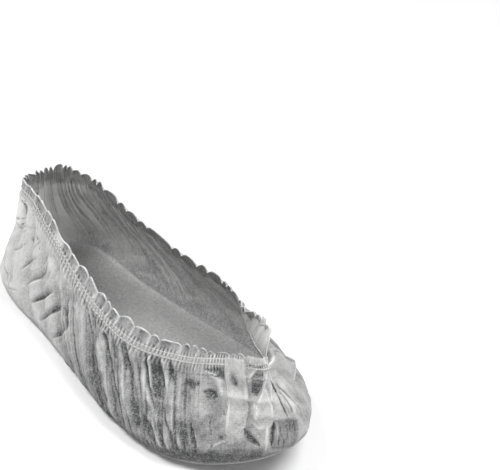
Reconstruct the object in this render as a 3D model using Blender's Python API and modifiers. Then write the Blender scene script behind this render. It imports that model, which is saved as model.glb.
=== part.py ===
"""Shoe cover in its worn form: a bag of thin nonwoven gathered on an elastic, resting on its sole.

Toe at -Y, the wearer's right side at -X, floor at z = 0. Lengths in metres.
"""

import math

import bpy
from mathutils import Vector

BASE_LENGTH = 0.296
BASE_WIDTH = 0.120
RIM_HEIGHT = 0.085
TOE_SPRING = 0.019
BELLY = 0.014
STEEPEST_LEAN_DEG = 50.0
FLAT_SOLE = 0.120
SOLE_EDGE = 0.0016
CLOTH = 0.0010
GAP = 0.00035
ELASTIC_WIDTH = 0.0050
ELASTIC_THICKNESS = 0.0008
HEM_BELOW = 0.0085
FRILL = 0.0095
GATHER = 0.0013
FOLD = 0.0040
SEAM_WIDTH = 0.0040
SEAM_THICKNESS = 0.0008

SPAN = 8
GATHERS = 32

# One row for each station from the heel along one side to the toe. The other side mirrors it.
# base: the sole edge, in shares of half BASE_WIDTH, half BASE_LENGTH and TOE_SPRING.
# rim: the elastic's line, in shares of half BASE_WIDTH, half BASE_LENGTH and RIM_HEIGHT.
# belly, lean and frill are shares of BELLY, STEEPEST_LEAN_DEG and FRILL.
STATION_SHARES = (
    # base_x, base_y, base_z, rim_x, rim_y, rim_z, belly, lean, frill
    (0.00, 1.00, 0.47, 0.00, 0.94, 0.93, 0.40, 0.16, 0.95),
    (0.45, 0.97, 0.43, 0.29, 0.88, 0.97, 0.36, 0.20, 1.00),
    (0.74, 0.82, 0.37, 0.40, 0.70, 1.00, 0.57, 0.32, 1.00),
    (0.80, 0.45, 0.12, 0.53, 0.42, 0.86, 0.71, 0.50, 1.00),
    (0.90, 0.05, 0.00, 0.67, 0.07, 0.71, 0.93, 0.60, 1.00),
    (1.00, -0.32, 0.00, 0.72, -0.26, 0.68, 1.00, 0.64, 1.00),
    (0.92, -0.63, 0.19, 0.44, -0.49, 0.66, 1.00, 0.72, 0.95),
    (0.53, -0.87, 0.58, 0.19, -0.67, 0.74, 0.93, 0.88, 0.75),
    (0.00, -1.00, 1.00, 0.00, -0.82, 0.80, 1.00, 1.00, 0.55),
)

# Main folds of the wall, in shares of the loop from the heel (0) over the near side and the toe (0.5).
# slant moves the lower end toward the toe. low and high are shares of the wall's height.
FOLD_SHARES = (
    # at, slant, half_width, depth, low, high
    (0.030, 0.020, 0.014, 0.45, 0.20, 1.10),
    (0.065, 0.035, 0.014, 0.55, 0.10, 1.10),
    (0.100, 0.050, 0.013, 0.70, 0.25, 1.20),
    (0.132, 0.060, 0.013, 0.85, 0.10, 1.20),
    (0.163, 0.064, 0.013, 0.75, 0.05, 1.20),
    (0.194, 0.066, 0.014, 1.00, 0.05, 1.20),
    (0.226, 0.064, 0.013, 0.70, 0.10, 1.20),
    (0.258, 0.060, 0.014, 0.95, 0.05, 1.20),
    (0.290, 0.052, 0.013, 0.70, 0.15, 1.20),
    (0.322, 0.044, 0.014, 0.85, 0.10, 1.20),
    (0.352, 0.034, 0.013, 0.60, 0.30, 1.20),
    (0.384, 0.022, 0.014, 0.80, 0.15, 1.20),
    (0.418, 0.012, 0.014, 0.60, 0.30, 1.20),
    (0.455, 0.004, 0.015, 0.75, 0.30, 1.15),
    (0.500, 0.000, 0.012, 0.50, 0.15, 1.15),
    (0.540, -0.004, 0.015, 0.70, 0.30, 1.15),
    (0.582, -0.014, 0.014, 0.60, 0.25, 1.20),
    (0.620, -0.026, 0.014, 0.80, 0.10, 1.20),
    (0.658, -0.040, 0.014, 0.65, 0.15, 1.20),
    (0.695, -0.050, 0.014, 0.90, 0.10, 1.20),
    (0.732, -0.058, 0.014, 0.75, 0.05, 1.20),
    (0.770, -0.064, 0.014, 1.00, 0.05, 1.20),
    (0.808, -0.066, 0.014, 0.75, 0.10, 1.20),
    (0.846, -0.062, 0.014, 0.85, 0.10, 1.20),
    (0.884, -0.052, 0.014, 0.65, 0.15, 1.20),
    (0.925, -0.036, 0.014, 0.60, 0.10, 1.10),
    (0.965, -0.018, 0.014, 0.45, 0.20, 1.10),
)

WALL_ROW_SHARES = (0.0, 0.10, 0.24, 0.42, 0.62, 0.82, 1.0)
SOLE_ACROSS_SHARES = (0.90, 0.50, 0.0, -0.50, -0.90)
SEAM_ROW_SHARES = (0.10, 0.24, 0.42, 0.62, 0.82)


def closed_spline(rows):
    """Smooth values at every column, through one row of values for each station of the closed loop."""
    found = []
    for index in range(len(rows)):
        a, b, c, d = (rows[(index + step) % len(rows)] for step in (-1, 0, 1, 2))
        for part in range(SPAN):
            t = part / SPAN
            weights = (
                0.5 * (-t + 2 * t**2 - t**3),
                0.5 * (2 - 5 * t**2 + 3 * t**3),
                0.5 * (t + 4 * t**2 - 3 * t**3),
                0.5 * (t**3 - t**2),
            )
            found.append([sum(w * v for w, v in zip(weights, values)) for values in zip(a, b, c, d)])
    return found


def loop_values():
    """The station table run round the whole loop: near side at -X, then the far side mirrored."""
    near = [[-row[0], *row[1:3], -row[3], *row[4:]] for row in STATION_SHARES]
    far = [[row[0], *row[1:3], row[3], *row[4:]] for row in STATION_SHARES[1:-1]]
    return closed_spline(near + far[::-1])


def sideways(points):
    """The level outward direction at each point of a loop."""
    count = len(points)
    found = []
    for index in range(count):
        along = points[(index + 1) % count] - points[index - 1]
        found.append(Vector((along.y, -along.x, 0.0)).normalized())
    return found


def frames():
    """For each column: base point, rim point, outward, up along the hem, out of the hem, belly and frill height."""
    values = loop_values()
    half = Vector((BASE_WIDTH / 2, BASE_LENGTH / 2))
    base = [Vector((v[0] * half.x, v[1] * half.y, max(v[2], 0.0) * TOE_SPRING + SOLE_EDGE)) for v in values]
    rim = [Vector((v[3] * half.x, v[4] * half.y, v[5] * RIM_HEIGHT)) for v in values]
    outward = sideways(base)
    found = []
    for index, value in enumerate(values):
        lean = math.radians(value[7] * STEEPEST_LEAN_DEG)
        up = Vector((0, 0, math.cos(lean))) - outward[index] * math.sin(lean)
        along = rim[(index + 1) % len(rim)] - rim[index - 1]
        out = along.cross(up).normalized()
        found.append((base[index], rim[index], outward[index], up, out, value[6] * BELLY, value[8] * FRILL))
    return found


def fold_depth(share, height):
    """How far the folds push the wall in, at a share of the loop and of the wall's height."""
    depth = 0.0
    for at, slant, half_width, deep, low, high in FOLD_SHARES:
        if not low < height < high:
            continue
        middle = at + slant * (1.0 - height)
        away = abs((share - middle + 0.5) % 1.0 - 0.5) / half_width
        if away < 1.0:
            reach = min(1.0, (height - low) / 0.25)
            fade = min(1.0, (high - height) / 0.30)
            depth += deep * FOLD * math.cos(away * math.pi / 2) ** 2 * reach * fade
    return depth


def gather(share, size):
    """The hem's wave: out at the middle of each gather and in between."""
    return size * GATHER * math.cos(2 * math.pi * GATHERS * share)


def gather_size(height):
    """The wave is small where the elastic is sewn and opens above and below it. height is along the hem."""
    if height < 0:
        return 0.30 + 0.55 * min(1.0, -height / HEM_BELOW)
    return 0.30 + 0.70 * min(1.0, height / FRILL)


def frill_top(frame, share):
    """The height of the frill's edge, which dips between the gathers."""
    return frame[6] * (1.0 - 0.06 * (1.0 - math.cos(2 * math.pi * GATHERS * share)))


def hem_point(frame, share, height, off):
    """A point of the hem, by its height along it from the elastic's middle and its distance out of it."""
    rim, up, out = frame[1], frame[3], frame[4]
    return rim + up * height + out * (off + gather(share, gather_size(height)))


def wall_point(frame, share, height):
    """A point of the wall's outer face, from the sole edge (0) to the hem's lower end (1)."""
    base, rim, outward, up, out, belly, _ = frame
    top = rim - up * (HEM_BELOW + ELASTIC_THICKNESS)
    reach = (top - base).length
    low_pull = base + outward * belly + Vector((0, 0, reach * 0.28))
    high_pull = top - up * (reach * 0.36)
    rest = 1.0 - height
    point = base * rest**3 + low_pull * (3 * rest**2 * height) + high_pull * (3 * rest * height**2) + top * height**3
    wave = gather(share, gather_size(-HEM_BELOW) * max(0.0, height - 0.5) * 2)
    push = wave - fold_depth(share, height) * (1.0 - 0.6 * max(0.0, height - 0.6) / 0.4)
    return point + (outward * rest + out * height).normalized() * push


def sole_point(near, far, across):
    """A point of the sole between the two sides, on the flat middle or on the rise of heel or toe."""
    middle = (near + far) / 2
    point = middle + (near - middle) * across
    flat = FLAT_SOLE / 2
    past = max(0.0, abs(point.y) - flat) / (BASE_LENGTH / 2 - flat)
    edge = middle.z - SOLE_EDGE
    point.z = min(edge, edge * past) if past > 0 else 0.0
    return point


def add_sheet(name, points, faces, thickness, inward, colour):
    """One node: an open surface given its thickness."""
    mesh = bpy.data.meshes.new(name)
    mesh.from_pydata([tuple(point) for point in points], [], faces)
    mesh.validate()
    node = bpy.data.objects.new(name, mesh)
    cover.objects.link(node)
    wall = node.modifiers.new("thickness", "SOLIDIFY")
    wall.thickness = thickness
    wall.offset = -1.0 if inward else 1.0
    wall.use_even_offset = True
    material = bpy.data.materials.new(name)
    material.use_nodes = True
    shader = material.node_tree.nodes["Principled BSDF"]
    shader.inputs["Base Color"].default_value = (*colour, 1.0)
    shader.inputs["Roughness"].default_value = 0.8
    node.data.materials.append(material)
    return node


def band_faces(columns, rows, first=0):
    """Quads of a closed band, its rows stacked upward, its faces turned outward."""
    found = []
    for row in range(rows - 1):
        for column in range(columns):
            after = (column + 1) % columns
            low = first + row * columns
            high = low + columns
            found.append((low + column, low + after, high + after, high + column))
    return found


def cover_body(loop):
    """Sole, sides, toe and heel as one sheet, its top edge inside the frill."""
    columns = len(loop)
    points = []
    for height in WALL_ROW_SHARES:
        points += [wall_point(frame, i / columns, height) for i, frame in enumerate(loop)]
    side = ELASTIC_WIDTH / 2 + CLOTH
    for height in (-side, side, None):
        for i, frame in enumerate(loop):
            top = frill_top(frame, i / columns) - CLOTH - GAP if height is None else height
            points.append(hem_point(frame, i / columns, top, 0.0))
    faces = band_faces(columns, len(WALL_ROW_SHARES) + 3)
    half = columns // 2
    rows = [[0] * (len(SOLE_ACROSS_SHARES) + 2)]
    for i in range(1, half):
        near, far = points[i], points[columns - i]
        row = [i]
        for across in SOLE_ACROSS_SHARES:
            row.append(len(points))
            points.append(sole_point(near, far, across))
        rows.append(row + [columns - i])
    rows.append([half] * (len(SOLE_ACROSS_SHARES) + 2))
    for here, after in zip(rows, rows[1:]):
        for k in range(len(here) - 1):
            corners = (here[k], here[k + 1], after[k + 1], after[k])
            faces.append(tuple(dict.fromkeys(corners)))
    return add_sheet("cover_body", points, faces, CLOTH, True, (0.60, 0.60, 0.60))


def hem_band(loop):
    """The turned edge: from its free edge over the elastic to the frill, then over the body's top edge."""
    columns = len(loop)
    clear = ELASTIC_THICKNESS + 2 * GAP
    side = ELASTIC_WIDTH / 2 + CLOTH
    points = []
    for i, frame in enumerate(loop):
        share = i / columns
        edge = frill_top(frame, share)
        profile = (
            (-HEM_BELOW, GAP + CLOTH / 2),
            (-side, clear),
            (side, clear),
            (edge * 0.80, GAP + CLOTH / 3),
            (edge - CLOTH / 4, GAP),
            (edge, -CLOTH),
        )
        points.append([hem_point(frame, share, height, off) for height, off in profile])
    stacked = [column[row] for row in range(6) for column in points]
    return add_sheet("hem_band", stacked, band_faces(columns, 6), CLOTH, False, (0.66, 0.66, 0.66))


def elastic_band(loop):
    """The flat elastic between the two layers of the hem."""
    columns = len(loop)
    points = []
    for height in (-ELASTIC_WIDTH / 2, ELASTIC_WIDTH / 2):
        points += [hem_point(frame, i / columns, height, GAP) for i, frame in enumerate(loop)]
    return add_sheet("elastic_band", points, band_faces(columns, 2), ELASTIC_THICKNESS, False, (0.85, 0.85, 0.84))


def wall_normal(loop, column, height):
    """The outward direction of the wall at a column."""
    columns = len(loop)
    before, after = (column - 1) % columns, (column + 1) % columns
    along = wall_point(loop[after], after / columns, height) - wall_point(loop[before], before / columns, height)
    low = wall_point(loop[column], column / columns, height - 0.05)
    high = wall_point(loop[column], column / columns, height + 0.05)
    return along.cross(high - low).normalized()


def end_seam(name, loop, column):
    """The seam allowance inside one end of the bag, from under the hem down to the sole."""
    columns = len(loop)
    points = []
    for height in SEAM_ROW_SHARES:
        middle = wall_point(loop[column], column / columns, height)
        inward = wall_normal(loop, column, height) * -(CLOTH + 2 * GAP)
        for side in (-1, 0, 1):
            beside = (column + side) % columns
            neighbour = wall_point(loop[beside], beside / columns, height)
            reach = min(1.0, SEAM_WIDTH / 2 / max((neighbour - middle).length, CLOTH))
            points.append(middle.lerp(neighbour, reach) + inward)
    faces = []
    for row in range(0, len(points) - 3, 3):
        for k in (0, 1):
            faces.append((row + k, row + k + 1, row + k + 4, row + k + 3))
    return add_sheet(name, points, faces, SEAM_THICKNESS, True, (0.56, 0.56, 0.56))


def centre(body):
    """Moves every piece so that the cover stands centred over the origin, on the floor."""
    corners = [vertex.co for vertex in body.data.vertices]
    middle = Vector([(min(c[k] for c in corners) + max(c[k] for c in corners)) / 2 for k in (0, 1)] + [0.0])
    for node in cover.objects:
        for vertex in node.data.vertices:
            vertex.co -= middle


for old in list(bpy.data.objects):
    bpy.data.objects.remove(old, do_unlink=True)
cover = bpy.data.collections.new("shoe_cover")
bpy.context.scene.collection.children.link(cover)

around = frames()
body = cover_body(around)
hem_band(around)
elastic_band(around)
end_seam("toe_seam", around, len(around) // 2)
end_seam("heel_seam", around, 0)
centre(body)
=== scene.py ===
"""The looks of a gathered nonwoven shoe cover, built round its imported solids. Metres, +Z up, toe at -Y."""

import math

import bpy
import numpy as np
from mathutils import Matrix, Vector


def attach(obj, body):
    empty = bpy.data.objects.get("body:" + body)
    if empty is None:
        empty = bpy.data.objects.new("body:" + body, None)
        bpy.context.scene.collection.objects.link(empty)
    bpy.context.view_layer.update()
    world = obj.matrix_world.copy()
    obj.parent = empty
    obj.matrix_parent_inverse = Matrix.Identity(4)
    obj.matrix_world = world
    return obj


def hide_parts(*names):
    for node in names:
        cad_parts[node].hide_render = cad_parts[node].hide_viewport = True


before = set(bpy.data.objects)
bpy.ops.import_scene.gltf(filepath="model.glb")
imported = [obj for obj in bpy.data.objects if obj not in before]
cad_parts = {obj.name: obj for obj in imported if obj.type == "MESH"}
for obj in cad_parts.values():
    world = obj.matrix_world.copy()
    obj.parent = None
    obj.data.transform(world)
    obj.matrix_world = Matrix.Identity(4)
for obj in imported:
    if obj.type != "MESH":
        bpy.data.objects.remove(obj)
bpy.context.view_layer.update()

# The bag.
# One sheet of spun-bonded polypropylene, folded up round the shoe and closed by a seam at toe and heel.
# The hem's elastic draws it in, so it falls in folds from the hem to the sole and is smooth where the shoe fills it.

HALF_LENGTH, HALF_WIDTH, RIM_HEIGHT = 0.148, 0.060, 0.085
TOE_SPRING, BELLY, STEEPEST_LEAN = 0.019, 0.014, math.radians(50)
FLAT_SOLE, SOLE_EDGE = 0.120, 0.0016
HEM_BELOW, FRILL = 0.0085, 0.0095
CENTRING = np.array([0.00003, 0.00114, 0.0])

# Heel to toe, in the shares that the solids use.
STATION_SHARES = (
    # base_x, base_y, base_z, rim_x, rim_y, rim_z, belly, lean, frill
    (0.00, 1.00, 0.47, 0.00, 0.94, 0.93, 0.40, 0.16, 0.95),
    (0.45, 0.97, 0.43, 0.29, 0.88, 0.97, 0.36, 0.20, 1.00),
    (0.74, 0.82, 0.37, 0.40, 0.70, 1.00, 0.57, 0.32, 1.00),
    (0.80, 0.45, 0.12, 0.53, 0.42, 0.86, 0.71, 0.50, 1.00),
    (0.90, 0.05, 0.00, 0.67, 0.07, 0.71, 0.93, 0.60, 1.00),
    (1.00, -0.32, 0.00, 0.72, -0.26, 0.68, 1.00, 0.64, 1.00),
    (0.92, -0.63, 0.19, 0.44, -0.49, 0.66, 1.00, 0.72, 0.95),
    (0.53, -0.87, 0.58, 0.19, -0.67, 0.74, 0.93, 0.88, 0.75),
    (0.00, -1.00, 1.00, 0.00, -0.82, 0.80, 1.00, 1.00, 0.55),
)


def ring(share):
    """The station values at shares of the loop: heel at 0, near side, toe at 0.5, far side."""
    near = [[-row[0], *row[1:3], -row[3], *row[4:]] for row in STATION_SHARES]
    far = [list(row) for row in STATION_SHARES[-2:0:-1]]
    table = np.array(near + far)
    place = (np.asarray(share) % 1.0) * len(table)
    first = np.floor(place).astype(int)
    t = (place - first)[..., None]
    weights = (
        0.5 * (-t + 2 * t**2 - t**3),
        0.5 * (2 - 5 * t**2 + 3 * t**3),
        0.5 * (t + 4 * t**2 - 3 * t**3),
        0.5 * (t**3 - t**2),
    )
    return sum(weight * table[(first + k - 1) % len(table)] for k, weight in enumerate(weights))


def unit(vectors):
    return vectors / np.maximum(np.linalg.norm(vectors, axis=-1, keepdims=True), 1e-12)


def loop_frame(share):
    """Base point, rim point, level outward, up along the hem, out of the hem, belly and frill height."""

    def places(values):
        base = values[..., 0:3] * (HALF_WIDTH, HALF_LENGTH, TOE_SPRING)
        base[..., 2] = np.maximum(base[..., 2], 0.0) + SOLE_EDGE
        return base, values[..., 3:6] * (HALF_WIDTH, HALF_LENGTH, RIM_HEIGHT)

    values = ring(share)
    base, rim = places(values)
    ahead, behind = places(ring(share + 1 / 128)), places(ring(share - 1 / 128))
    along = ahead[0] - behind[0]
    outward = unit(np.stack([along[..., 1], -along[..., 0], 0 * along[..., 0]], -1))
    lean = values[..., 7:8] * STEEPEST_LEAN
    up = np.array([0.0, 0.0, 1.0]) * np.cos(lean) - outward * np.sin(lean)
    out = unit(np.cross(ahead[1] - behind[1], up))
    return base, rim, outward, up, out, values[..., 6:7] * BELLY, values[..., 8:9] * FRILL


# Broad folds, as the solids have them. slant carries the lower end toward the toe.
BROAD_FOLDS = (
    # at, slant, half_width, depth, low, high
    (0.030, 0.020, 0.014, 0.45, 0.20, 1.10),
    (0.065, 0.035, 0.014, 0.55, 0.10, 1.10),
    (0.100, 0.050, 0.013, 0.70, 0.25, 1.20),
    (0.132, 0.060, 0.013, 0.85, 0.10, 1.20),
    (0.163, 0.064, 0.013, 0.75, 0.05, 1.20),
    (0.194, 0.066, 0.014, 1.00, 0.05, 1.20),
    (0.226, 0.064, 0.013, 0.70, 0.10, 1.20),
    (0.258, 0.060, 0.014, 0.95, 0.05, 1.20),
    (0.290, 0.052, 0.013, 0.70, 0.15, 1.20),
    (0.322, 0.044, 0.014, 0.85, 0.10, 1.20),
    (0.352, 0.034, 0.013, 0.60, 0.30, 1.20),
    (0.384, 0.022, 0.014, 0.80, 0.15, 1.20),
    (0.418, 0.012, 0.014, 0.60, 0.30, 1.20),
    (0.455, 0.004, 0.015, 0.75, 0.30, 1.15),
    (0.500, 0.000, 0.012, 0.50, 0.15, 1.15),
    (0.540, -0.004, 0.015, 0.70, 0.30, 1.15),
    (0.582, -0.014, 0.014, 0.60, 0.25, 1.20),
    (0.620, -0.026, 0.014, 0.80, 0.10, 1.20),
    (0.658, -0.040, 0.014, 0.65, 0.15, 1.20),
    (0.695, -0.050, 0.014, 0.90, 0.10, 1.20),
    (0.732, -0.058, 0.014, 0.75, 0.05, 1.20),
    (0.770, -0.064, 0.014, 1.00, 0.05, 1.20),
    (0.808, -0.066, 0.014, 0.75, 0.10, 1.20),
    (0.846, -0.062, 0.014, 0.85, 0.10, 1.20),
    (0.884, -0.052, 0.014, 0.65, 0.15, 1.20),
    (0.925, -0.036, 0.014, 0.60, 0.10, 1.10),
    (0.965, -0.018, 0.014, 0.45, 0.20, 1.10),
)
BROAD_DEPTH = 0.0024
PLEATS, PLEAT_DEPTH = 118, 0.0028
CALM_AT = (0.0, 0.10, 0.20, 0.24, 0.28, 0.38, 0.41, 0.47, 0.50, 0.56, 0.62, 0.88, 1.0)
CALM = (0.35, 0.15, 0.20, 0.45, 0.35, 0.30, 0.10, 0.05, 0.05, 0.12, 0.60, 1.0, 0.35)
LOBES, LOBE_DEPTH, RIBS = 64, 0.0014, 236
LOOP, REACH = 0.66, 0.062

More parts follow.
